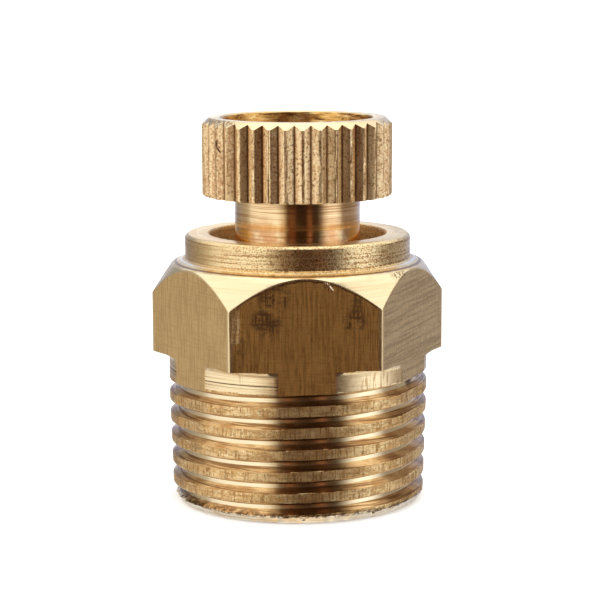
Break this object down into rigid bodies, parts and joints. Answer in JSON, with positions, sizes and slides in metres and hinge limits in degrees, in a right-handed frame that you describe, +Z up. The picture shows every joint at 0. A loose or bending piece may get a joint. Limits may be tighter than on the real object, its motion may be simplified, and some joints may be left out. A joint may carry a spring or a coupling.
{
  "type": "automatic air vent",
  "caption": "Brass automatic air vent with a knurled thumb knob, hexagon body, male taper thread and swelling fibre rings inside.",
  "frame": {"origin": "centre of the annular bottom face of the threaded end, on the vent's axis", "axes": "+Z up the axis from the threaded end to the knob; the hexagon's flats face +Y and -Y and its corners point to +X and -X"},
  "size_m": [0.0184, 0.016, 0.0242],
  "materials": {
    "body_brass": "turned, bright with fine tool marks",
    "knob_brass": "turned and straight knurled",
    "inner_brass": "turned",
    "fibre": "pressed cellulose fibre, matt",
    "seal_rubber": "smooth moulded rubber",
    "spring_steel": "bright drawn spring steel"
  },
  "bodies": {
    "body": {"valve_body": "body_brass", "retaining_ring": "spring_steel", "spring_seat": "inner_brass", "plunger_spring": "spring_steel"},
    "plunger": {"check_plunger": "inner_brass", "plunger_o_ring": "seal_rubber"},
    "knob": {"knob_spindle": "knob_brass", "ring_carrier": "inner_brass", "nose_o_ring": "seal_rubber", "fibre_ring_01": "fibre", "fibre_ring_02": "fibre", "fibre_ring_03": "fibre", "fibre_ring_04": "fibre", "fibre_ring_05": "fibre", "fibre_ring_06": "fibre", "fibre_ring_07": "fibre", "fibre_ring_08": "fibre", "fibre_ring_09": "fibre", "fibre_ring_10": "fibre"}
  },
  "joints": [
    {"name": "plunger_lift", "type": "slide", "parent": "body", "child": "plunger", "axis": [0, 0, 1], "range_m": [0, 0.0015], "deforming": ["plunger_spring"]},
    {"name": "knob_turn", "type": "hinge", "parent": "plunger", "child": "knob", "pos_m": [0, 0, 0.012], "axis": [0, 0, 1], "range_deg": [0, 540]}
  ],
  "couplings": [
    {"joint": "plunger_lift", "follows": "knob_turn", "m_per_rad": 0.00015915}
  ]
}
